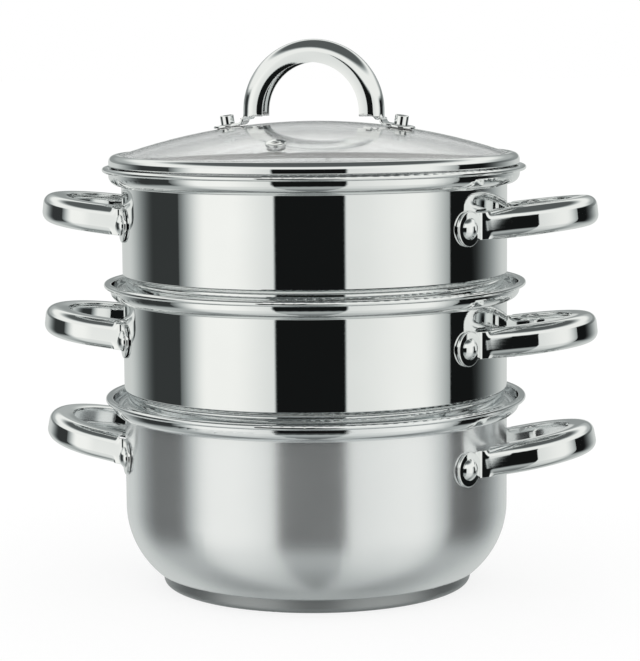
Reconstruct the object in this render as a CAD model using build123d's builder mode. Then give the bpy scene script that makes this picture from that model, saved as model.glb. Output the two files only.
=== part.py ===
from build123d import *
import math
import os

# Three-tier steamer pot: a bellied pot on an encapsulated base, two steamer
# tiers with perforated floors, and a domed glass lid in a steel band.
# Millimetres, +Z up, origin at the centre of the base's underside. The handles
# lie along X, and the lid's steam vent faces -Y.

os.makedirs("parts", exist_ok=True)

# Vessels: sizes that the pot and both tiers share
wall_r = 100.0              # outside radius of the straight walls
wall_t = 0.8                # sheet of the shells
pot_h = 99.4                # table to the pot's lip
tier_pitch = 59.6           # one lip to the next
fit_gap = 0.3               # between loose pieces that rest on each other

# Rim, measured on the outside of the sheet: a ledge, a short upright and a rolled lip
rim_bend_r = 0.8            # where the wall turns out into the ledge
rim_step_w = 6.5            # wall to the upright
rim_h = 9.2                 # ledge's underside to the lip's top
rim_sweep_r = 5.0           # ledge into the upright
lip_bend_r = 0.6            # upright into the lip
lip_w = 3.3                 # upright to the lip's outside
lip_bead_r = 1.3            # rolled lip

# Pot
belly_r = 45.0
belly_top_z = 42.0          # where the belly turns into the straight wall
pot_corner_r = 6.0          # underside into the belly
base_h = 7.2                # table to the pot's underside
base_inset = 2.7            # base edge, in from the foot of the belly
base_edge_r = 3.0           # lower edge of the base
cap_t = 0.6                 # sheet round the base disc

# Steamer tiers: the neck stands inside the vessel below
neck_gap = 0.9              # neck to the wall that it stands in
nest_depth = 16.0           # floor below the lip that the tier stands in
floor_corner_r = 5.0
shoulder_lift = 4.1         # wall's lower edge above the lip below
shoulder_rise = 1.5
shoulder_bend_r = 1.4
stack_bead_r = 2.2          # rib that rests in the rim below
stack_bead_out = 1.3        # rib's centre, out from the neck
stack_bead_half_angle = 25.0
stack_bead_root_r = 1.0
steam_hole_r = 2.75
steam_hole_pitch = 12.5     # ring to ring
steam_hole_rings = 6
holes_per_ring_step = 6

# Stamped channel handles, alike on the vessels and the lid
arch_r = 37.5               # outside radius of the loop
channel_w = 15.0            # across the loop's thickness
channel_depth = 11.8        # outside to inside of the loop
channel_t = 1.4
channel_edge_r = 3.6
strap_w = 14.0              # flat strap from the channel to the ear
strap_bend_r = 2.0
seat_gap = 0.05             # ear to the wall, and head to the ear
overrun = 6.0               # how far cutters run past what they cut

# Side handles
rivet_out = 7.9             # rivets, out from the loop's outside
side_strap_t = 1.5
side_ear_r = 9.0
side_foot = 11.0            # rivets to where the channel starts
side_straight = 10.1        # straight part of the channel
tier_rivet_drop = 28.9      # lip to rivets on a tier
pot_rivet_drop = 29.9
tier_tilt = 7.0             # rise of the handles away from the wall, degrees
pot_tilt = 11.5

# Rivets
rivet_r = 2.4
rivet_hole_r = 2.5
rivet_head_r = 5.4
rivet_dome_h = 2.6
rivet_rim_h = 0.4
rivet_tail_r = 4.5
rivet_tail_h = 1.2

# Lid band
band_inset = 3.4            # band's upright face, in from the outside of the lip
band_corner_lift = 1.3      # band's top corner above the inner edge of its fold
band_top_r = 2.2
band_foot_r = 0.8
band_t = 0.5
band_lip_w = 3.5            # fold over the glass
skirt_gap = 0.9             # skirt to the inside of the rim's upright
skirt_t = 0.6
skirt_depth = 4.0

# Lid glass
dome_r = 310.0              # outside of the dome
glass_t = 3.0
glass_edge_r = 1.0
glass_gap = 0.1             # glass to the band

# Lid handle and its screws
screw_out = 8.4             # screws, out from the loop's outside
lid_strap_t = 1.2
lid_ear_r = 7.7
lid_foot = 5.5
lid_straight = 2.2
screw_r = 1.9
screw_hole_r = 2.1
glass_hole_r = 2.8
screw_head_r = 4.2
screw_head_h = 2.4
seal_r = 6.0
upper_seal_t = 0.4
lower_seal_t = 1.0
washer_r = 6.6
washer_t = 0.9
nut_r = 3.6
nut_h = 4.9
nut_edge_r = 0.8
nut_bore_depth = 3.9

# Steam vent
vent_inset = 30.0           # vent's axis, in from the edge of the glass
vent_flange_r = 5.3
vent_flange_h = 1.5
vent_flange_edge_r = 0.7
vent_barrel_r = 3.3
vent_hole_r = 1.7
vent_tail_r = 4.6
vent_tail_h = 0.9
vent_play = 0.1             # barrel to the glass


def sind(angle):
    return math.sin(math.radians(angle))


def cosd(angle):
    return math.cos(math.radians(angle))


def asind(ratio):
    return math.degrees(math.asin(ratio))


def leg(long_side, short_side):
    """Third side of a right triangle."""
    return math.sqrt(long_side**2 - short_side**2)


# Heights of the three lips and of the lid
lower_lip_z = pot_h + tier_pitch
upper_lip_z = lower_lip_z + tier_pitch
lid_z = upper_lip_z + fit_gap

# Rim: its upright and the centre of its rolled lip
rim_face_r = wall_r + rim_step_w
lip_centre_r = rim_face_r + lip_w - lip_bead_r


def finish(part, name):
    """Name a finished piece and write it out."""
    part.label = name
    export_step(part, f"parts/{name}.step")


def wall_and_rim(corners, radii, lip_z):
    """Outside of a shell from its last low corner up the wall to the lip, corners rounded."""
    FilletPolyline(
        *corners,
        (wall_r, lip_z - rim_h),
        (rim_face_r, lip_z - rim_h),
        (rim_face_r, lip_z - wall_t),
        (lip_centre_r, lip_z - wall_t),
        radius=[*radii, rim_bend_r, rim_sweep_r, lip_bend_r],
    )


def lip_bead(lip_z):
    """Section of the rolled lip."""
    with Locations((lip_centre_r, lip_z - lip_bead_r)):
        Circle(lip_bead_r)


def radial(frame, turn):
    """Direction out from a frame's origin, turned from its X axis."""
    return frame.x_dir * cosd(turn) + frame.y_dir * sind(turn)


def facing(frame, turn, distance):
    """Plane that faces out along a radial, at a distance from the origin."""
    out = radial(frame, turn)
    return Plane(origin=frame.origin + out * distance, x_dir=frame.z_dir, z_dir=out)


def along(frame, turn):
    """Plane that holds a radial as its X axis."""
    out = radial(frame, turn)
    return Plane(origin=frame.origin, x_dir=out, z_dir=out.cross(frame.z_dir))


def bore_pair(frame, angle, distance, radius):
    """Cut two radial holes, one each side of the frame's X axis."""
    for turn in (-angle, angle):
        with BuildSketch(facing(frame, turn, distance)) as mouth:
            Circle(radius)
        extrude(mouth.sketch, amount=overrun, both=True, mode=Mode.SUBTRACT)


def side_frame(side, rivet_z):
    """Frame of a side handle: X out of the vessel, origin on its axis."""
    return Plane(origin=(0, 0, rivet_z), x_dir=(side, 0, 0), z_dir=(0, 0, 1))


sides = {"left": -1, "right": 1}
rivet_half_spacing = arch_r + rivet_out
rivet_angle = asind(rivet_half_spacing / wall_r)
pot_rivet_z = pot_h - pot_rivet_drop


def rivet_holes(rivet_z):
    """Holes through a vessel's wall for its four rivets."""
    for side in sides.values():
        bore_pair(side_frame(side, rivet_z), rivet_angle, wall_r, rivet_hole_r)


# Pot shell
belly_centre_r = wall_r - belly_r
belly_sweep = asind((belly_top_z - base_h) / belly_r)
belly_foot_r = belly_centre_r + belly_r * cosd(belly_sweep)

with BuildPart() as pot_shell:
    with BuildSketch(Plane.XZ):
        with BuildLine() as sheet:
            Line((0, base_h), (belly_foot_r, base_h))
            CenterArc((belly_centre_r, belly_top_z), belly_r, -belly_sweep, belly_sweep)
            foot = sheet.vertices().sort_by_distance((belly_foot_r, base_h))[0]
            fillet(foot, pot_corner_r)
            wall_and_rim([(wall_r, belly_top_z)], [], pot_h)
            offset(amount=wall_t, side=Side.LEFT)
        make_face()
        lip_bead(pot_h)
    revolve(axis=Axis.Z)
    rivet_holes(pot_rivet_z)
finish(pot_shell.part, "pot_shell")

# Base: a steel cup that encloses an aluminium disc
base_r = belly_foot_r - base_inset

with BuildPart() as base_cap:
    with BuildSketch(Plane.XZ):
        with BuildLine():
            FilletPolyline((0, 0), (base_r, 0), (base_r, base_h), radius=base_edge_r)
            offset(amount=cap_t, side=Side.LEFT)
        make_face()
    revolve(axis=Axis.Z)
finish(base_cap.part, "base_cap")

with BuildPart() as base_core:
    with BuildSketch(Plane.XZ):
        with BuildLine():
            core_edge = FilletPolyline(
                (0, cap_t), (base_r - cap_t, cap_t), (base_r - cap_t, base_h),
                radius=base_edge_r - cap_t,
            )
            Polyline(core_edge @ 1, (0, base_h), core_edge @ 0)
        make_face()
    revolve(axis=Axis.Z)
finish(base_core.part, "base_core")

# Steamer shells
neck_r = wall_r - wall_t - neck_gap
stack_bead_centre_r = neck_r + stack_bead_out
stack_bead_tip_r = stack_bead_centre_r + stack_bead_r / sind(stack_bead_half_angle)
stack_bead_half_h = (stack_bead_tip_r - neck_r) * math.tan(math.radians(stack_bead_half_angle))
# The rib's round tip keeps fit_gap to the inside of the rim's first bend
stack_bead_drop = rim_h + rim_bend_r - leg(
    stack_bead_r + wall_t + rim_bend_r + fit_gap, wall_r + rim_bend_r - stack_bead_centre_r
)


def steamer_shell(lip_z):
    """A tier: floor, neck with its rib, shoulder, wall and rim."""
    below_z = lip_z - tier_pitch
    floor_z = below_z - nest_depth
    rib_z = below_z - stack_bead_drop
    shoulder_z = below_z + shoulder_lift
    with BuildPart() as shell:
        with BuildSketch(Plane.XZ):
            with BuildLine():
                wall_and_rim(
                    [
                        (0, floor_z),
                        (neck_r, floor_z),
                        (neck_r, rib_z - stack_bead_half_h),
                        (stack_bead_tip_r, rib_z),
                        (neck_r, rib_z + stack_bead_half_h),
                        (neck_r, shoulder_z - shoulder_rise),
                        (wall_r, shoulder_z),
                    ],
                    [
                        floor_corner_r,
                        stack_bead_root_r,
                        stack_bead_r,
                        stack_bead_root_r,
                        shoulder_bend_r,
                        shoulder_bend_r,
                    ],
                    lip_z,
                )
                offset(amount=wall_t, side=Side.LEFT)
            make_face()
            lip_bead(lip_z)
        revolve(axis=Axis.Z)
        with BuildSketch(Plane.XY.offset(floor_z)):
            Circle(steam_hole_r)
            for ring in range(1, steam_hole_rings + 1):
                with PolarLocations(ring * steam_hole_pitch, ring * holes_per_ring_step):
                    Circle(steam_hole_r)
        extrude(amount=wall_t, mode=Mode.SUBTRACT)
        rivet_holes(lip_z - tier_rivet_drop)
    return shell.part


def stamped_handle(frame, carrier_r, half_spacing, tilt, strap_t, ear_r, hole_r, foot, straight):
    """Channel loop with two straps that bend outwards into flat round ears.

    The frame's X axis points out of the carrier and its Y axis across the handle.
    The carrier is the round wall or dome of radius carrier_r that the ears lie on.
    """
    fix_angle = asind(half_spacing / carrier_r)
    ear_inside_r = carrier_r + seat_gap
    ear_outside_r = ear_inside_r + strap_t
    bend_centre_y = arch_r + strap_bend_r
    bend_centre_x = leg(ear_outside_r + strap_bend_r, bend_centre_y)
    bend_angle = asind(bend_centre_y / (ear_outside_r + strap_bend_r))
    lean_dir = frame.x_dir * cosd(tilt) + frame.z_dir * sind(tilt)
    lean_up = frame.z_dir * cosd(tilt) - frame.x_dir * sind(tilt)
    lean = Plane(
        origin=frame.origin + frame.x_dir * leg(carrier_r, half_spacing),
        x_dir=lean_dir,
        z_dir=lean_up,
    )
    foot_plane = Plane(origin=lean.origin + lean_dir * foot, x_dir=lean.y_dir, z_dir=lean_dir)
    arch_plane = Plane(
        origin=lean.origin + lean_dir * (foot + straight), x_dir=lean.y_dir, z_dir=lean_dir
    )
    strap_end_x = leg(carrier_r, half_spacing) + foot + overrun

    with BuildPart() as ears:
        for turn in (-fix_angle, fix_angle):
            with BuildSketch(facing(frame, turn, carrier_r)):
                Circle(ear_r)
            extrude(amount=overrun, both=True)
        with BuildSketch(frame):
            Circle(ear_outside_r)
            Circle(ear_inside_r, mode=Mode.SUBTRACT)
        extrude(amount=2 * ear_r, both=True, mode=Mode.INTERSECT)

    with BuildPart() as handle:
        with BuildSketch(frame):
            with BuildLine():
                CenterArc((0, 0), ear_outside_r, -fix_angle, fix_angle - bend_angle)
                CenterArc(
                    (bend_centre_x, -bend_centre_y),
                    strap_bend_r,
                    start_angle=180 - bend_angle,
                    arc_size=bend_angle - 90,
                )
                Line((bend_centre_x, -arch_r), (strap_end_x, -arch_r))
                offset(amount=strap_t, side=Side.LEFT)
            make_face()
            mirror(about=Plane.XZ)
        extrude(amount=strap_w, both=True)
        split(bisect_by=lean.offset(strap_w / 2), keep=Keep.BOTTOM)
        split(bisect_by=lean.offset(-strap_w / 2), keep=Keep.TOP)
        split(bisect_by=foot_plane, keep=Keep.BOTTOM)
        add(ears.part)
        with BuildSketch(arch_plane) as section:
            with BuildLine():
                FilletPolyline(
                    (arch_r - channel_depth, -channel_w / 2),
                    (arch_r, -channel_w / 2),
                    (arch_r, channel_w / 2),
                    (arch_r - channel_depth, channel_w / 2),
                    radius=channel_edge_r,
                )
                offset(amount=channel_t, side=Side.LEFT)
            make_face()
        revolve(axis=Axis(arch_plane.origin, lean_up * -1), revolution_arc=180)
        with BuildSketch(arch_plane):
            add(section.sketch_local)
            mirror(about=Plane.YZ)
        extrude(amount=-straight)
        bore_pair(frame, fix_angle, carrier_r, hole_r)
    return handle.part


def rivet_pair(frame):
    """Two rivets: flat head inside the wall, domed head over the ear."""
    inside_x = leg(wall_r - wall_t - seat_gap, rivet_tail_r)
    head_x = wall_r + seat_gap + side_strap_t + seat_gap
    dome_r = (rivet_head_r**2 + rivet_dome_h**2) / (2 * rivet_dome_h)
    rim_x = head_x + rivet_rim_h
    with BuildPart() as rivets:
        for turn in (-rivet_angle, rivet_angle):
            with BuildSketch(along(frame, turn)):
                with BuildLine():
                    Polyline(
                        (rim_x + rivet_dome_h, 0),
                        (inside_x - rivet_tail_h, 0),
                        (inside_x - rivet_tail_h, rivet_tail_r),
                        (inside_x, rivet_tail_r),
                        (inside_x, rivet_r),
                        (head_x, rivet_r),
                        (head_x, rivet_head_r),
                        (rim_x, rivet_head_r),
                    )
                    CenterArc(
                        (rim_x + rivet_dome_h - dome_r, 0),
                        dome_r,
                        start_angle=0,
                        arc_size=asind(rivet_head_r / dome_r),
                    )
                make_face()
            revolve(axis=Axis(frame.origin, radial(frame, turn)))
    return rivets.part


def side_fittings(vessel, rivet_z, tilt):
    """Both handles of a vessel and their rivets."""
    for side_name, side in sides.items():
        frame = side_frame(side, rivet_z)
        handle = stamped_handle(
            frame, wall_r, rivet_half_spacing, tilt,
            side_strap_t, side_ear_r, rivet_hole_r, side_foot, side_straight,
        )
        finish(handle, f"{vessel}_handle_{side_name}")
        finish(rivet_pair(frame), f"{vessel}_rivets_{side_name}")


side_fittings("pot", pot_rivet_z, pot_tilt)
for tier, tier_lip_z in (("lower_steamer", lower_lip_z), ("upper_steamer", upper_lip_z)):
    finish(steamer_shell(tier_lip_z), f"{tier}_shell")
    side_fittings(tier, tier_lip_z - tier_rivet_drop, tier_tilt)

# Lid: the glass stands on the band's ledge, which sets the centre of the dome's sphere
band_r = lip_centre_r + lip_bead_r - band_inset
glass_r = band_r - band_t - glass_gap
glass_inside_r = dome_r - glass_t
ledge_z = lid_z + band_t
dome_centre_z = ledge_z + glass_gap - leg(glass_inside_r, glass_r)

# Frames whose origin is that centre
dome_frame = Plane(origin=(0, 0, dome_centre_z), x_dir=(0, 0, 1), z_dir=(0, 1, 0))
vent_frame = Plane(origin=(0, 0, dome_centre_z), x_dir=(0, 0, 1), z_dir=(1, 0, 0))
screw_half_spacing = arch_r + screw_out
screw_angle = asind(screw_half_spacing / dome_r)
vent_angle = asind((glass_r - vent_inset) / dome_r)
handle_carrier_r = dome_r + upper_seal_t

with BuildPart() as lid_glass:
    with BuildSketch(Plane.XZ) as glass_section:
        with BuildLine():
            top = CenterArc(
                (0, dome_centre_z), dome_r, start_angle=90, arc_size=-asind(glass_r / dome_r)
            )
            bottom = CenterArc(
                (0, dome_centre_z), glass_inside_r,
                start_angle=90, arc_size=-asind(glass_r / glass_inside_r),
            )
            Line(top @ 0, bottom @ 0)
            Line(top @ 1, bottom @ 1)
        make_face()
        fillet(glass_section.vertices().group_by(Axis.X)[-1], glass_edge_r)
    revolve(axis=Axis.Z)
    bore_pair(dome_frame, screw_angle, dome_r, glass_hole_r)
    with BuildSketch(facing(vent_frame, vent_angle, dome_r)):
        Circle(vent_barrel_r + vent_play)
    extrude(amount=overrun, both=True, mode=Mode.SUBTRACT)
finish(lid_glass.part, "lid_glass")

# Band: folded over the glass and under it, with a skirt inside the rim
skirt_r = rim_face_r - wall_t - skirt_gap
fold_r = band_r - band_lip_w
fold_z = dome_centre_z + leg(dome_r, fold_r) + glass_gap + band_t

with BuildPart() as lid_rim_band:
    with BuildSketch(Plane.XZ) as band_section:
        with BuildLine():
            FilletPolyline(
                (fold_r, fold_z),
                (band_r, fold_z + band_corner_lift),
                (band_r, lid_z),
                (skirt_r - skirt_t, lid_z),
                radius=[band_top_r, band_foot_r],
            )
            offset(amount=band_t, side=Side.RIGHT)
        make_face()
        with Locations((skirt_r - skirt_t, ledge_z)):
            Rectangle(skirt_t, band_t + skirt_depth, align=(Align.MIN, Align.MAX))
    revolve(axis=Axis.Z)
finish(lid_rim_band.part, "lid_rim_band")

lid_handle = stamped_handle(
    dome_frame, handle_carrier_r, screw_half_spacing, 0,
    lid_strap_t, lid_ear_r, screw_hole_r, lid_foot, lid_straight,
)
finish(lid_handle, "lid_handle")


def turned_pair(*outline):
    """Two alike turned pieces on the lid's screw axes, from their half outline."""
    with BuildPart() as pair:
        for turn in (-screw_angle, screw_angle):
            with BuildSketch(along(dome_frame, turn)):
                with BuildLine():
                    Polyline(*outline, close=True)
                make_face()
            revolve(axis=Axis(dome_frame.origin, radial(dome_frame, turn)))
    return pair.part


def ring_outline(low_x, high_x, hole, outside):
    """Half outline of a flat ring between two distances from the sphere's centre."""
    return ((low_x, hole), (high_x, hole), (high_x, outside), (low_x, outside))


# Stack on each screw, from the inside out
lower_seal_x = leg(glass_inside_r, seal_r) - seat_gap
washer_x = lower_seal_x - lower_seal_t
head_x = washer_x - washer_t
ear_top_x = handle_carrier_r + seat_gap + lid_strap_t
nut_x = ear_top_x + seat_gap
nut_bore_x = nut_x + nut_bore_depth

lower_seals = turned_pair(*ring_outline(washer_x, lower_seal_x, screw_hole_r, seal_r))
finish(lower_seals, "lid_lower_seals")

steel_washers = turned_pair(*ring_outline(head_x, washer_x, screw_hole_r, washer_r))
finish(steel_washers, "lid_steel_washers")

upper_seal_x = leg(handle_carrier_r, seal_r)
upper_seals = turned_pair(*ring_outline(dome_r, upper_seal_x, screw_hole_r, seal_r))
finish(upper_seals, "lid_upper_seals")

screws = turned_pair(
    (head_x - screw_head_h, 0),
    (head_x - screw_head_h, screw_head_r - screw_head_h / 2),
    (head_x - screw_head_h / 2, screw_head_r),
    (head_x, screw_head_r),
    (head_x, screw_r),
    (nut_bore_x, screw_r),
    (nut_bore_x, 0),
)
finish(screws, "lid_screws")

with BuildPart() as lid_cap_nuts:
    for turn in (-screw_angle, screw_angle):
        with BuildSketch(along(dome_frame, turn)) as nut_section:
            with BuildLine():
                Polyline(
                    (nut_x, screw_r),
                    (nut_bore_x, screw_r),
                    (nut_bore_x, 0),
                    (nut_x + nut_h, 0),
                    (nut_x + nut_h, nut_r),
                    (nut_x, nut_r),
                    close=True,
                )
            make_face()
            crown = nut_section.vertices().sort_by_distance((nut_x + nut_h, nut_r))[0]
            fillet(crown, nut_edge_r)
        revolve(axis=Axis(dome_frame.origin, radial(dome_frame, turn)))
finish(lid_cap_nuts.part, "lid_cap_nuts")

# Steam vent: an eyelet clinched in the glass
vent_tail_x = leg(glass_inside_r, vent_tail_r) - seat_gap
vent_head_x = dome_r + seat_gap

with BuildPart() as lid_vent_grommet:
    with BuildSketch(along(vent_frame, vent_angle)) as vent_section:
        with BuildLine():
            Polyline(
                (vent_tail_x - vent_tail_h, vent_hole_r),
                (vent_tail_x - vent_tail_h, vent_tail_r),
                (vent_tail_x, vent_tail_r),
                (vent_tail_x, vent_barrel_r),
                (vent_head_x, vent_barrel_r),
                (vent_head_x, vent_flange_r),
                (vent_head_x + vent_flange_h, vent_flange_r),
                (vent_head_x + vent_flange_h, vent_hole_r),
                close=True,
            )
        make_face()
        fillet(vent_section.vertices().group_by(Axis.X)[-1], vent_flange_edge_r)
    revolve(axis=Axis(vent_frame.origin, radial(vent_frame, vent_angle)))
finish(lid_vent_grommet.part, "lid_vent_grommet")
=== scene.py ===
import math

import bpy
from mathutils import Matrix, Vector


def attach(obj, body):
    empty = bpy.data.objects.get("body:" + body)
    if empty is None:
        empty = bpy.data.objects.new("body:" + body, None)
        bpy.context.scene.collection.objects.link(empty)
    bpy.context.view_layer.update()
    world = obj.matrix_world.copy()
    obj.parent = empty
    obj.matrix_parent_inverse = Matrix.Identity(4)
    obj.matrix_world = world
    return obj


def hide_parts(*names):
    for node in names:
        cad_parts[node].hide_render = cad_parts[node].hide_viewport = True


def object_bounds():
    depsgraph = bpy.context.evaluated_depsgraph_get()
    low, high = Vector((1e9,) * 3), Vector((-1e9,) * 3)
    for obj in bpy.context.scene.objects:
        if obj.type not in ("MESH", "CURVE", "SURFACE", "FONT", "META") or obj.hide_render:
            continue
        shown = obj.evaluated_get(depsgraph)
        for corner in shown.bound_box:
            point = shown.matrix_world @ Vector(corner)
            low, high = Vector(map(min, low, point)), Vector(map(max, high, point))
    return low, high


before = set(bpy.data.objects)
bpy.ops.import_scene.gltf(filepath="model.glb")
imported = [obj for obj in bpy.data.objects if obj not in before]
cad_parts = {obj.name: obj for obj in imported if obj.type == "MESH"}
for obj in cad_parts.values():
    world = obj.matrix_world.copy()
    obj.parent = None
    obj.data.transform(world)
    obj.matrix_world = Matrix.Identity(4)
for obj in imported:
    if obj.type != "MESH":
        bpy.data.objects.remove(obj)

# Three-tier steamer pot in a white studio. Metres, +Z up, the handles along X.

for start_object in ("Cube", "Light", "Camera"):
    if start_object in bpy.data.objects:
        bpy.data.objects.remove(bpy.data.objects[start_object])
cad_low, cad_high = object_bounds()

MM = 0.001
MERGE = 0.01 * MM
TOUCH = 0.1 * MM
WHITE = (1.0, 1.0, 1.0, 1.0)

# Share of a length past which a point or an edge lies at its far end
FAR_END = 0.9

# Camera, turned round the pot's own axis and looking a little down
CAMERA_TURN = math.radians(14.0)
CAMERA_DISTANCE = 1200.0 * MM
CAMERA_HEIGHT = 277.5 * MM
CAMERA_PITCH = math.radians(6.81)
CAMERA_ROLL = math.radians(-0.45)
CAMERA_LENS = 125.74
CAMERA_SENSOR = 36.0
CAMERA_CLIP = (0.01, 100.0)
FRAME_HEIGHT = 661
AXIS_LEFT_PX = 4.76
AXIS_UP_PX = 4.24

# Floor, light on dull surfaces, and tones of what polished steel reflects
FLOOR_SIZE = 40.0
FLOOR_WHITE = 0.86
FLOOR_GLOW_SHARE = 0.74
FLOOR_GLOW = 1.085
SKY_LIGHT = 0.95
COOL_DARK = (0.90, 1.0, 0.995, 1.0)
WARM_LIGHT = (1.0, 1.0, 0.965, 1.0)

# Panels and cards round the pot. Each pair is the bearings from the camera, in degrees,
# between which one of them starts, ends or changes.
LEFT_SURROUND = (-146.0, -109.0)
LEFT_CARD_EDGE = (-86.9, -86.3)
LEFT_PANEL = (-92.5, -66.0)
LEFT_PANEL_DIMS = (-52.0, -16.0)
BLACK_CARD_LEFT = (-24.2, -22.6)
BLACK_CARD_RIGHT = (16.9, 18.5)
RIGHT_PANEL_RISES = (12.0, 60.0)
RIGHT_PANEL = (64.0, 102.0)
RIGHT_CARD_EDGE = (86.0, 86.6)
RIGHT_SURROUND = (105.0, 156.0)
BACK_BEARINGS = (105.0, 135.0)
HALF_TURN = 180.0
SURROUND = 0.65
LEFT_CARD = 0.032
BLACK_CARD = 0.008
LEFT_DIMMING = 0.23
RIGHT_NEAR = 0.80
RIGHT_RISE = 0.15
BACK_SHADE = 0.52

# Ceiling and ground. A height is the sine of the angle above the horizon.
CARD_TOP = math.sin(math.radians(12.0))
CARD_TOP_BLUR = 0.06
CARD_FOOT = math.sin(math.radians(-26.0))
CARD_FOOT_BLUR = 0.13
BACK_FOOT = (0.02, 0.06)
BACK_TOP = (0.30, 0.50)
CEILING = 0.95
ZENITH = (0.58, 0.80)
ZENITH_DIMMING = 0.84
GROUND = 0.44
GROUND_PANEL_SHARE = 0.36
NADIR = (-1.0, -0.65)
NADIR_DIMMING = 0.27

# Vessels and lid, as packed
WALL_R = 100.0 * MM
POT_RIVETS = (("pot", 69.5 * MM),)
TIER_RIVETS = (("lower_steamer", 130.1 * MM), ("upper_steamer", 189.7 * MM))
DOME_R = 310.0 * MM
DOME_CENTRE = -68.69 * MM
SEAL = 0.4 * MM
SEAT = 0.05 * MM

# Stamped loop handles: a channel bent round a half turn, on two straight legs
LOOP_R = 37.5 * MM
CHANNEL_W = 15.0 * MM
CHANNEL_DEPTH = 11.8 * MM
CHANNEL_SHEET = 1.4 * MM
CHANNEL_ROUNDING = 0.3 * MM
CHANNEL_ROUNDING_STEPS = 2
ROUNDED_OVER = math.radians(50.0)
CORNER_STEPS = 12
ARCH_STEPS = 56

# Strap and ear at each end of a loop
STRAP_EDGE_SHARE = 0.6
STRAP_TAPER_SHARE = 0.6
STRAP_FLATNESS_SHARES = (0.72, 0.42, 0.0)
STRAP_NARROWING = 0.985
STRAP_BEND = 2.0 * MM
STRAP_BEND_STEPS = 10
STRAP_UNDER_EAR = 7.0 * MM
EAR_SIDES = 64
EAR_ROUNDING = 0.7 * MM
EAR_ROUNDING_STEPS = 5

SIDE_LOOP = {
    "half_spacing": 45.4 * MM,
    "carrier_r": WALL_R,
    "ear_r": 9.0 * MM,
    "strap_t": 1.5 * MM,
    "foot": 11.0 * MM,
    "straight": 10.1 * MM,
    "edge": 5.2 * MM,
}
LID_LOOP = {
    "half_spacing": 45.9 * MM,
    "carrier_r": DOME_R + SEAL,
    "ear_r": 7.7 * MM,
    "strap_t": 1.2 * MM,
    "foot": 5.5 * MM,
    "straight": 2.2 * MM,
    "edge": 7.1 * MM,
}
POT_LOOP_TILT = math.radians(11.5)
TIER_LOOP_TILT = math.radians(7.0)

# Band of the lid
BAND_R = 106.4 * MM
BAND_TOP = 225.3 * MM
LID_FOOT = 218.9 * MM
BAND_FOLD = 5.6 * MM
BAND_DROP = 0.5 * MM
BAND_ROUND = 4.1 * MM
BAND_FOOT_ROUND = 0.8 * MM
BAND_FOOT_STEPS = 5
BAND_SKIRT = 3.5 * MM
BAND_SHEET = 0.5 * MM
BAND_TURN_STEPS = 180

# Faces meeting flatter than this are shaded as one
SMOOTH_UNDER = math.radians(35.0)

# Steel: lines left by polishing, soft clouds of smudges and a faint wave in the sheet
LINES_SCALE = 6.0
LINES_DETAIL = 6.0
LINES_STRETCH = (1.0, 1.0, 400.0)
CLOUD_SCALE = 22.0
CLOUD_DETAIL = 3.0
CLOUD_TONE = 0.97
CLOUD_RANGE = (0.3, 0.75)
WAVE_SCALE = 9.0
WAVE_DETAIL = 1.0
WAVE_SHARE = 0.35
RIDGE_STRENGTH = 0.25
RIDGE_HEIGHT = 0.3 * MM
LEAST_ROUGHNESS = 0.01
MEAN_NOISE = 0.5

# The pot's rim is polished from this height up
POT_RIM = 89.6 * MM
POT_RIM_BLUR = 0.6 * MM
RIM_ROUGHNESS = 0.05
RIM_SMUDGE_LOSS = 0.7

# Glass of the lid, hazy in spots, and rubber of the seals
GLASS_TINT = (0.97, 0.98, 0.975, 1.0)
GLASS_IOR = 1.5
HAZE_SCALE = 30.0
HAZE_START = 0.4
HAZE_ROUGHNESS = 0.03
RUBBER_GREY = (0.72, 0.72, 0.71, 1.0)
RUBBER_SCALE = 300.0
RUBBER_ROUGHNESS = 0.45
RUBBER_UNEVENNESS = 0.15

# Sockets of a Mix node that hold colours. Its number sockets have the same names.
MIX_FIRST, MIX_SECOND, MIX_RESULT = 6, 7, 2


class Value:
    """A socket in a sum: operators on it add Math nodes to its tree."""

    def __init__(self, tree, socket):
        self.tree = tree
        self.socket = socket

    def math(self, operation, *terms):
        node = self.tree.nodes.new("ShaderNodeMath")
        node.operation = operation
        for entry, term in zip(node.inputs, terms):
            if isinstance(term, Value):
                self.tree.links.new(term.socket, entry)
            else:
                entry.default_value = term
        return Value(self.tree, node.outputs[0])

    def __add__(self, other):
        return self.math("ADD", self, other)

    def __radd__(self, other):
        return self.math("ADD", other, self)

    def __sub__(self, other):
        return self.math("SUBTRACT", self, other)

    def __rsub__(self, other):
        return self.math("SUBTRACT", other, self)

    def __mul__(self, other):
        return self.math("MULTIPLY", self, other)

    def __rmul__(self, other):
        return self.math("MULTIPLY", other, self)

    def larger(self, other):
        return self.math("MAXIMUM", self, other)

    def size(self):
        return self.math("ABSOLUTE", self)


class Tree:
    """Node tree of a finish or of the studio, with one way to add a node."""

    def __init__(self, tree):
        self.tree = tree
        self.tree.nodes.clear()

    def node(self, kind, sockets=None, **settings):
        made = self.tree.nodes.new(kind)
        for setting, choice in settings.items():
            setattr(made, setting, choice)
        for socket, source in (sockets or {}).items():
            if isinstance(source, Value):
                self.tree.links.new(source.socket, made.inputs[socket])
            elif isinstance(source, bpy.types.NodeSocket):
                self.tree.links.new(source, made.inputs[socket])
            else:
                made.inputs[socket].default_value = source
        return made

    def value(self, node, output=0):
        return Value(self.tree, node.outputs[output])

    def ramp(self, factor, low, high):
        """0 below low, 1 above high, smooth between."""
        node = self.node(
            "ShaderNodeMapRange",
            {"Value": factor, "From Min": low, "From Max": high},
            interpolation_type="SMOOTHSTEP",
        )
        return self.value(node)

    def mix(self, factor, first, second):
        """The first colour at 0, the second at 1."""
        node = self.node(
            "ShaderNodeMix",
            {"Factor": factor, MIX_FIRST: first, MIX_SECOND: second},
            data_type="RGBA",
        )
        return node.outputs[MIX_RESULT]


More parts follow.
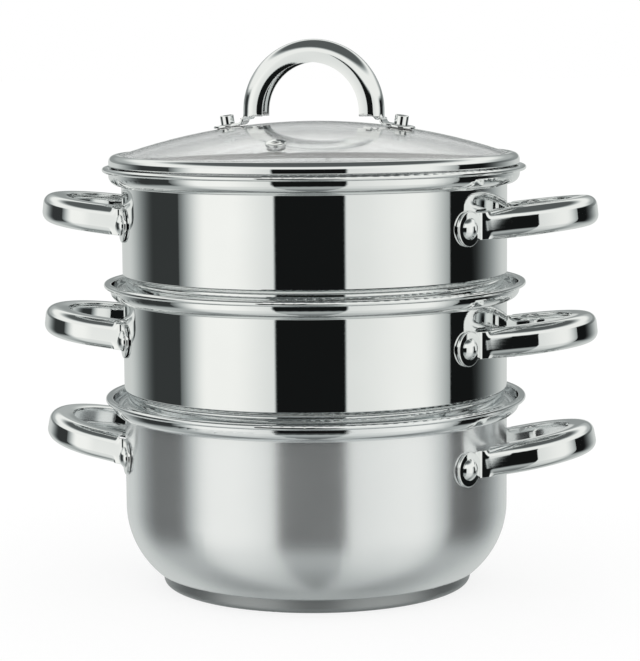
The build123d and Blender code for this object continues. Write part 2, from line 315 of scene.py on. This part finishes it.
def new_finish(name):
    material = bpy.data.materials.new(name)
    material.use_nodes = True
    return material, Tree(material.node_tree)


def place(tree, scale=(1.0, 1.0, 1.0)):
    """Object coordinates, scaled along each axis."""
    coordinates = tree.node("ShaderNodeTexCoord")
    mapping = tree.node(
        "ShaderNodeMapping", {"Vector": coordinates.outputs["Object"], "Scale": scale}
    )
    return mapping.outputs["Vector"]


def noise(tree, scale, detail, stretch=(1.0, 1.0, 1.0)):
    """Noise with that many cells to the metre, stretched along the axes."""
    node = tree.node(
        "ShaderNodeTexNoise",
        {"Vector": place(tree, stretch), "Scale": scale, "Detail": detail},
    )
    return tree.value(node)


def steel(
    name, colour, roughness, smudge, brush,
    anisotropy=0.0, turn=0.0, metal=1.0, polished_above=None,
):
    """Polished or brushed stainless steel: fine lines along the sheet, faint smudges."""
    material, tree = new_finish(name)
    if polished_above is not None:
        spot = tree.node("ShaderNodeSeparateXYZ", {"Vector": place(tree)})
        rim = tree.ramp(tree.value(spot, 2), polished_above, polished_above + POT_RIM_BLUR)
        roughness = roughness * (1.0 - rim) + RIM_ROUGHNESS * rim
        smudge = smudge * (1.0 - RIM_SMUDGE_LOSS * rim)
        metal = metal + (1.0 - metal) * rim
    lines = noise(tree, LINES_SCALE, LINES_DETAIL, LINES_STRETCH)
    cloud = noise(tree, CLOUD_SCALE, CLOUD_DETAIL)
    wave = noise(tree, WAVE_SCALE, WAVE_DETAIL)
    shine = roughness + smudge * (cloud - MEAN_NOISE) + smudge * (lines - MEAN_NOISE)
    ridges = tree.node(
        "ShaderNodeBump",
        {
            "Height": lines * brush + wave * WAVE_SHARE,
            "Strength": RIDGE_STRENGTH,
            "Distance": RIDGE_HEIGHT,
        },
    )
    smudged = (*[channel * CLOUD_TONE for channel in colour], 1.0)
    body = tree.node(
        "ShaderNodeBsdfPrincipled",
        {
            "Base Color": tree.mix(tree.ramp(cloud, *CLOUD_RANGE), smudged, (*colour, 1.0)),
            "Metallic": metal,
            "Roughness": shine.larger(LEAST_ROUGHNESS),
            "Anisotropic": anisotropy,
            "Anisotropic Rotation": turn,
            "Normal": ridges.outputs["Normal"],
        },
    )
    tree.node("ShaderNodeOutputMaterial", {"Surface": body.outputs[0]})
    return material


def clear_glass(name):
    """Tempered glass with a trace of haze in spots."""
    material, tree = new_finish(name)
    cloud = noise(tree, HAZE_SCALE, CLOUD_DETAIL)
    body = tree.node(
        "ShaderNodeBsdfPrincipled",
        {
            "Base Color": GLASS_TINT,
            "Roughness": (cloud - HAZE_START).larger(0.0) * HAZE_ROUGHNESS,
            "IOR": GLASS_IOR,
            "Transmission Weight": 1.0,
        },
    )
    tree.node("ShaderNodeOutputMaterial", {"Surface": body.outputs[0]})
    return material


def silicone(name):
    """Pale rubber of the seals, dull with a fine unevenness."""
    material, tree = new_finish(name)
    cloud = noise(tree, RUBBER_SCALE, CLOUD_DETAIL)
    body = tree.node(
        "ShaderNodeBsdfPrincipled",
        {
            "Base Color": RUBBER_GREY,
            "Roughness": RUBBER_ROUGHNESS + RUBBER_UNEVENNESS * cloud,
        },
    )
    tree.node("ShaderNodeOutputMaterial", {"Surface": body.outputs[0]})
    return material


mirror = steel(
    "mirror_polish", colour=(0.875, 0.89, 0.89), roughness=0.022, smudge=0.014, brush=0.1
)
satin = steel(
    "satin_brush", colour=(0.85, 0.868, 0.876), roughness=0.24, smudge=0.05, brush=0.3,
    anisotropy=0.75, turn=0.25, metal=0.86, polished_above=POT_RIM,
)
# Brushed steel of the base cap. Its dark colour is painted shade: it stands in for the shaded floor
# that the cap reflects.
base_satin_painted_shade = steel(
    "base_satin_painted_shade", colour=(0.36, 0.375, 0.38), roughness=0.42, smudge=0.05, brush=0.3,
    anisotropy=0.4, turn=0.25, metal=0.8,
)
aluminium = steel(
    "aluminium_disc", colour=(0.80, 0.80, 0.79), roughness=0.4, smudge=0.1, brush=0.6
)

finish_of_slot = {
    "mirror_steel": mirror,
    "satin_steel": satin,
    "aluminium": aluminium,
    "glass": clear_glass("clear_glass"),
    "silicone": silicone("silicone"),
}
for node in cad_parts.values():
    slot = node.material_slots[0]
    slot.material = finish_of_slot[slot.material.name]
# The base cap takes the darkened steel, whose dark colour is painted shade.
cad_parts["base_cap"].material_slots[0].material = base_satin_painted_shade


def work_on(shape):
    """Make one object the only selected one, in edit mode with nothing picked."""
    if bpy.context.object and bpy.context.object.mode != "OBJECT":
        bpy.ops.object.mode_set(mode="OBJECT")
    bpy.ops.object.select_all(action="DESELECT")
    bpy.context.view_layer.objects.active = shape
    shape.select_set(True)
    bpy.ops.object.mode_set(mode="EDIT")
    bpy.ops.mesh.select_all(action="DESELECT")


def pick(shape, wanted, kind="VERT"):
    """Select the points, or the edges by their middles, for which wanted is true."""
    bpy.ops.mesh.select_mode(type="VERT")
    bpy.ops.mesh.select_all(action="DESELECT")
    bpy.ops.mesh.select_mode(type=kind)
    bpy.ops.object.mode_set(mode="OBJECT")
    mesh = shape.data
    if kind == "VERT":
        for point in mesh.vertices:
            point.select = wanted(point.co)
    else:
        for edge in mesh.edges:
            a, b = (mesh.vertices[i].co for i in edge.vertices)
            edge.select = wanted((a + b) / 2)
    bpy.ops.object.mode_set(mode="EDIT")


def push(move):
    """Extrude the selected edges into faces and move the new row."""
    bpy.ops.mesh.extrude_edges_move(TRANSFORM_OT_translate={"value": move})


def round_corners(radius, steps):
    """Round the selected corners of an outline."""
    bpy.ops.mesh.bevel(offset=radius, segments=steps, profile=0.5, affect="VERTICES")


def weld():
    """Merge doubled points, turn the faces to one side and leave edit mode."""
    bpy.ops.mesh.select_all(action="SELECT")
    bpy.ops.mesh.remove_doubles(threshold=MERGE)
    bpy.ops.mesh.normals_make_consistent(inside=False)
    bpy.ops.object.mode_set(mode="OBJECT")


def thicken(shape, thickness):
    """Give a sheet its thickness on the inner side of the face that is furthest along X."""
    outermost = max(shape.data.polygons, key=lambda face: face.center.x)
    sheet = shape.modifiers.new("sheet", "SOLIDIFY")
    sheet.thickness = thickness
    sheet.offset = -1.0 if outermost.normal.x > 0.0 else 1.0
    bpy.ops.object.modifier_apply(modifier="sheet")


def polish(shape):
    """Smooth shading between sharp edges, and the mirror finish."""
    bpy.ops.object.shade_smooth_by_angle(angle=SMOOTH_UNDER)
    shape.data.materials.clear()
    shape.data.materials.append(mirror)


def channel_section(foot, edge):
    """Section of the channel at one leg's foot: outer wall and two sides, left in edit mode."""
    bpy.ops.object.select_all(action="DESELECT")
    bpy.ops.mesh.primitive_plane_add(
        size=CHANNEL_W,
        location=(foot, CHANNEL_W / 2 - LOOP_R, 0.0),
        rotation=(0.0, math.pi / 2, 0.0),
    )
    section = bpy.context.object
    bpy.ops.object.transform_apply(location=True, rotation=True, scale=True)
    work_on(section)
    pick(section, lambda at: at.y > FAR_END * CHANNEL_W - LOOP_R)
    bpy.ops.transform.translate(value=(0.0, CHANNEL_DEPTH - CHANNEL_W, 0.0))
    pick(section, lambda at: at.y > FAR_END * CHANNEL_DEPTH - LOOP_R, "EDGE")
    bpy.ops.mesh.delete(type="EDGE_FACE")
    pick(section, lambda at: at.y < CHANNEL_DEPTH / 2 - LOOP_R)
    round_corners(edge, CORNER_STEPS)
    bpy.ops.mesh.select_all(action="SELECT")
    return section


def strap(loop, side, tilt, fix, bend_x, foot, edge):
    """Strap drawn from one leg's outer wall, flattened, bent outwards and laid under the ear."""
    pick(
        loop,
        lambda at: abs(at.x - foot) < MERGE and side * at.y > LOOP_R - STRAP_EDGE_SHARE * edge,
        "EDGE",
    )
    taper = STRAP_TAPER_SHARE * (foot - bend_x)
    for flatness in STRAP_FLATNESS_SHARES:
        push((-taper / len(STRAP_FLATNESS_SHARES), 0.0, 0.0))
        bpy.ops.transform.resize(
            value=(1.0, flatness, STRAP_NARROWING),
            center_override=(foot, side * LOOP_R, 0.0),
        )
    push((taper - foot + bend_x, 0.0, 0.0))
    bpy.ops.transform.rotate(
        value=-tilt, orient_axis="Y", center_override=(bend_x, side * LOOP_R, 0.0)
    )
    bpy.ops.mesh.spin(
        steps=STRAP_BEND_STEPS,
        angle=side * (math.pi / 2 - fix),
        center=(bend_x, side * (LOOP_R + STRAP_BEND), 0.0),
        axis=(math.sin(tilt), 0.0, math.cos(tilt)),
    )
    push((
        -STRAP_UNDER_EAR * math.sin(fix) * math.cos(tilt),
        side * STRAP_UNDER_EAR * math.cos(fix),
        STRAP_UNDER_EAR * math.sin(fix) * math.sin(tilt),
    ))


def ear(radius, thickness, face_r, turn):
    """Round ear with a rounded rim, its outer face at that radius from the carrier's axis."""
    bpy.ops.object.select_all(action="DESELECT")
    bpy.ops.mesh.primitive_cylinder_add(
        vertices=EAR_SIDES, radius=radius, depth=thickness, end_fill_type="NGON",
        location=(0.0, 0.0, face_r - thickness / 2),
    )
    disc = bpy.context.object
    bpy.ops.object.transform_apply(location=True)
    work_on(disc)
    pick(disc, lambda at: at.z > face_r - thickness / 2)
    bpy.ops.mesh.bevel(offset=EAR_ROUNDING, segments=EAR_ROUNDING_STEPS, affect="EDGES")
    bpy.ops.object.mode_set(mode="OBJECT")
    disc.data.transform(Matrix.Rotation(turn, 4, "Z") @ Matrix.Rotation(math.pi / 2, 4, "Y"))
    return disc


def loop_handle(tilt, half_spacing, carrier_r, ear_r, strap_t, foot, straight, edge):
    """Stamped channel bent into a loop, with a bent strap and a round ear at each end.

    Made lying down: X away from the carrier, Y across the loop, Z through its thickness.
    """
    ear_face = carrier_r + SEAT + strap_t
    reach_in = math.sqrt(carrier_r**2 - half_spacing**2)
    bend_y = LOOP_R + STRAP_BEND
    bend_x = (math.sqrt((ear_face + STRAP_BEND) ** 2 - bend_y**2) - reach_in) / math.cos(tilt)
    fix = math.asin(half_spacing / carrier_r)

    loop = channel_section(foot, edge)
    push((straight, 0.0, 0.0))
    bpy.ops.mesh.spin(
        steps=ARCH_STEPS, angle=-math.pi, center=(foot + straight, 0.0, 0.0), axis=(0.0, 0.0, 1.0)
    )
    push((-straight, 0.0, 0.0))
    for side in (-1.0, 1.0):
        strap(loop, side, tilt, fix, bend_x, foot, edge)
    weld()
    thicken(loop, CHANNEL_SHEET)
    rounding = loop.modifiers.new("rounding", "BEVEL")
    rounding.width = CHANNEL_ROUNDING
    rounding.segments = CHANNEL_ROUNDING_STEPS
    rounding.angle_limit = ROUNDED_OVER
    bpy.ops.object.modifier_apply(modifier="rounding")
    loop.data.transform(
        Matrix.Translation((reach_in, 0.0, 0.0)) @ Matrix.Rotation(-tilt, 4, "Y")
    )

    ears = [ear(ear_r, strap_t, ear_face, side * fix) for side in (-1.0, 1.0)]
    bpy.ops.object.select_all(action="DESELECT")
    for disc in ears:
        disc.select_set(True)
    loop.select_set(True)
    bpy.context.view_layer.objects.active = loop
    bpy.ops.object.join()
    polish(loop)
    return loop


def set_loop(loop, name, where, body, node_name):
    """Copy a finished loop to its place on a body, where it stands for a CAD node."""
    placed = bpy.data.objects.new(name, loop.data.copy())
    bpy.context.scene.collection.objects.link(placed)
    placed.data.transform(where)
    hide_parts(node_name)
    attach(placed, body)


def side_loops():
    """A left and a right loop on each vessel, level with its rivets."""
    for tilt, vessels in ((POT_LOOP_TILT, POT_RIVETS), (TIER_LOOP_TILT, TIER_RIVETS)):
        loop = loop_handle(tilt, **SIDE_LOOP)
        for vessel, rivet_z in vessels:
            for side_name, turn in (("left", math.pi), ("right", 0.0)):
                where = Matrix.Translation((0.0, 0.0, rivet_z)) @ Matrix.Rotation(turn, 4, "Z")
                set_loop(
                    loop, f"{vessel}_loop_{side_name}", where,
                    vessel, f"{vessel}_handle_{side_name}",
                )
        bpy.data.objects.remove(loop)


def lid_loop():
    """The lid's loop: its own X stands up and its Y lies along the handles' line."""
    upright = Matrix((
        (0.0, 1.0, 0.0, 0.0),
        (0.0, 0.0, 1.0, 0.0),
        (1.0, 0.0, 0.0, DOME_CENTRE),
        (0.0, 0.0, 0.0, 1.0),
    ))
    loop = loop_handle(0.0, **LID_LOOP)
    set_loop(loop, "lid_loop", upright, "lid", "lid_handle")
    bpy.data.objects.remove(loop)


def lid_band():
    """Band with a full round top, folded over the glass, and its hidden skirt."""
    middle_r = BAND_R - BAND_FOLD / 2
    middle_z = (BAND_TOP + LID_FOOT) / 2
    bpy.ops.object.select_all(action="DESELECT")
    bpy.ops.mesh.primitive_plane_add(
        size=1.0, location=(middle_r, 0.0, middle_z), rotation=(math.pi / 2, 0.0, 0.0)
    )
    band = bpy.context.object
    band.name = "lid_band"
    band.scale = (BAND_FOLD, BAND_TOP - LID_FOOT, 1.0)
    bpy.ops.object.transform_apply(location=True, rotation=True, scale=True)
    work_on(band)
    pick(band, lambda at: at.x < middle_r - FAR_END * BAND_FOLD / 2, "EDGE")
    bpy.ops.mesh.delete(type="EDGE_FACE")
    pick(band, lambda at: at.x < middle_r and at.z > middle_z)
    bpy.ops.transform.translate(value=(0.0, 0.0, -BAND_DROP))
    pick(band, lambda at: at.x > middle_r and at.z > middle_z)
    round_corners(BAND_ROUND, CORNER_STEPS)
    pick(band, lambda at: at.x > middle_r and at.z < LID_FOOT + TOUCH)
    round_corners(BAND_FOOT_ROUND, BAND_FOOT_STEPS)
    pick(band, lambda at: at.x < middle_r and at.z < LID_FOOT + TOUCH)
    bpy.ops.mesh.extrude_vertices_move(
        TRANSFORM_OT_translate={"value": (0.0, 0.0, -BAND_SKIRT)}
    )
    bpy.ops.mesh.select_all(action="SELECT")
    bpy.ops.mesh.spin(
        steps=BAND_TURN_STEPS, angle=2 * math.pi, center=(0.0, 0.0, 0.0), axis=(0.0, 0.0, 1.0)
    )
    weld()
    thicken(band, BAND_SHEET)
    polish(band)
    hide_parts("lid_rim_band")
    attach(band, "lid")


side_loops()
lid_loop()
lid_band()


def studio():
    """White surround with dark cards, as polished metal and glass see it."""
    world = bpy.data.worlds.new("studio")
    bpy.context.scene.world = world
    world.use_nodes = True
    tree = Tree(world.node_tree)
    direction = tree.node("ShaderNodeTexCoord")
    parts = tree.node("ShaderNodeSeparateXYZ", {"Vector": direction.outputs["Generated"]})
    across = tree.value(parts, 0)
    depth = tree.value(parts, 1)
    height = tree.value(parts, 2)
    turn = across.math("ARCTAN2", across, -1.0 * depth) * math.degrees(1.0)
    turn = turn - math.degrees(CAMERA_TURN)
    turn = turn.math("WRAP", turn, HALF_TURN, -HALF_TURN)

    def fade(bearings):
        return tree.ramp(turn, *bearings)

    surround = SURROUND * (1.0 - fade(LEFT_SURROUND) + fade(RIGHT_SURROUND))
    left_card = LEFT_CARD * fade(LEFT_SURROUND) * (1.0 - fade(LEFT_CARD_EDGE))
    left_panel = fade(LEFT_PANEL) * fade(LEFT_CARD_EDGE) * (1.0 - fade(BLACK_CARD_LEFT))
    left_panel = left_panel * (1.0 - LEFT_DIMMING * fade(LEFT_PANEL_DIMS))
    right_panel = fade(BLACK_CARD_RIGHT) * (1.0 - fade(RIGHT_PANEL)) * (1.0 - fade(RIGHT_CARD_EDGE))
    right_panel = right_panel * (RIGHT_NEAR + RIGHT_RISE * fade(RIGHT_PANEL_RISES))
    wall = BLACK_CARD + surround + left_card + left_panel + right_panel

    top = tree.ramp(height, CARD_TOP - CARD_TOP_BLUR, CARD_TOP + CARD_TOP_BLUR)
    under = 1.0 - tree.ramp(height, CARD_FOOT - CARD_FOOT_BLUR, CARD_FOOT + CARD_FOOT_BLUR)
    nadir = 1.0 - tree.ramp(height, *NADIR)
    ground = GROUND + GROUND_PANEL_SHARE * wall - NADIR_DIMMING * nadir
    ceiling = CEILING - ZENITH_DIMMING * tree.ramp(height, *ZENITH)
    # Dark backdrop behind the pot, above the floor's far edge
    behind = tree.ramp(turn.size(), *BACK_BEARINGS)
    low_back = tree.ramp(height, *BACK_FOOT) * (1.0 - tree.ramp(height, *BACK_TOP))
    seen = wall * (1.0 - top) * (1.0 - under) + ceiling * top + ground * under
    seen = seen * (1.0 - BACK_SHADE * behind * low_back)

    # The camera, also through glass, sees plain white, and dull surfaces get plain light
    rays = tree.node("ShaderNodeLightPath")
    plain = tree.value(rays, "Is Camera Ray").larger(tree.value(rays, "Is Transmission Ray"))
    shiny = tree.value(rays, "Is Glossy Ray") * (1.0 - plain)
    strength = plain + shiny * seen + (1.0 - plain) * (1.0 - shiny) * SKY_LIGHT
    reflected = tree.mix(seen, COOL_DARK, WARM_LIGHT)
    backdrop = tree.node(
        "ShaderNodeBackground",
        {"Color": tree.mix(1.0 - shiny, reflected, WHITE), "Strength": strength},
    )
    tree.node("ShaderNodeOutputWorld", {"Surface": backdrop.outputs[0]})


def studio_floor():
    """Pale floor that keeps the pot's shadow and glows white to the camera."""
    bpy.ops.object.select_all(action="DESELECT")
    bpy.ops.mesh.primitive_plane_add(size=FLOOR_SIZE, location=(0.0, 0.0, cad_low.z))
    floor = bpy.context.object
    floor.name = "studio_floor"
    material, tree = new_finish("pale_floor")
    rays = tree.node("ShaderNodeLightPath")
    lit = tree.node(
        "ShaderNodeBsdfDiffuse", {"Color": (FLOOR_WHITE, FLOOR_WHITE, FLOOR_WHITE, 1.0)}
    )
    glow = tree.node("ShaderNodeEmission", {"Color": WHITE, "Strength": FLOOR_GLOW})
    seen = tree.value(rays, "Is Camera Ray").larger(tree.value(rays, "Is Transmission Ray"))
    mix = tree.node(
        "ShaderNodeMixShader",
        {0: seen * FLOOR_GLOW_SHARE, 1: lit.outputs[0], 2: glow.outputs[0]},
    )
    tree.node("ShaderNodeOutputMaterial", {"Surface": mix.outputs[0]})
    floor.data.materials.append(material)
    floor.visible_glossy = False


def studio_camera():
    """Long lens from the front, shifted so that the pot's axis lies where it should."""
    data = bpy.data.cameras.new("studio_camera")
    camera = bpy.data.objects.new("studio_camera", data)
    bpy.context.scene.collection.objects.link(camera)
    data.lens = CAMERA_LENS
    data.sensor_width = CAMERA_SENSOR
    data.shift_x = AXIS_LEFT_PX / FRAME_HEIGHT
    data.shift_y = -AXIS_UP_PX / FRAME_HEIGHT
    data.clip_start, data.clip_end = CAMERA_CLIP
    camera.matrix_world = (
        Matrix.Rotation(CAMERA_TURN, 4, "Z")
        @ Matrix.Translation((0.0, -CAMERA_DISTANCE, CAMERA_HEIGHT))
        @ Matrix.Rotation(math.pi / 2 - CAMERA_PITCH, 4, "X")
        @ Matrix.Rotation(CAMERA_ROLL, 4, "Z")
    )
    bpy.context.scene.camera = camera


studio()
studio_floor()
studio_camera()

bpy.context.scene.view_settings.view_transform = "Standard"
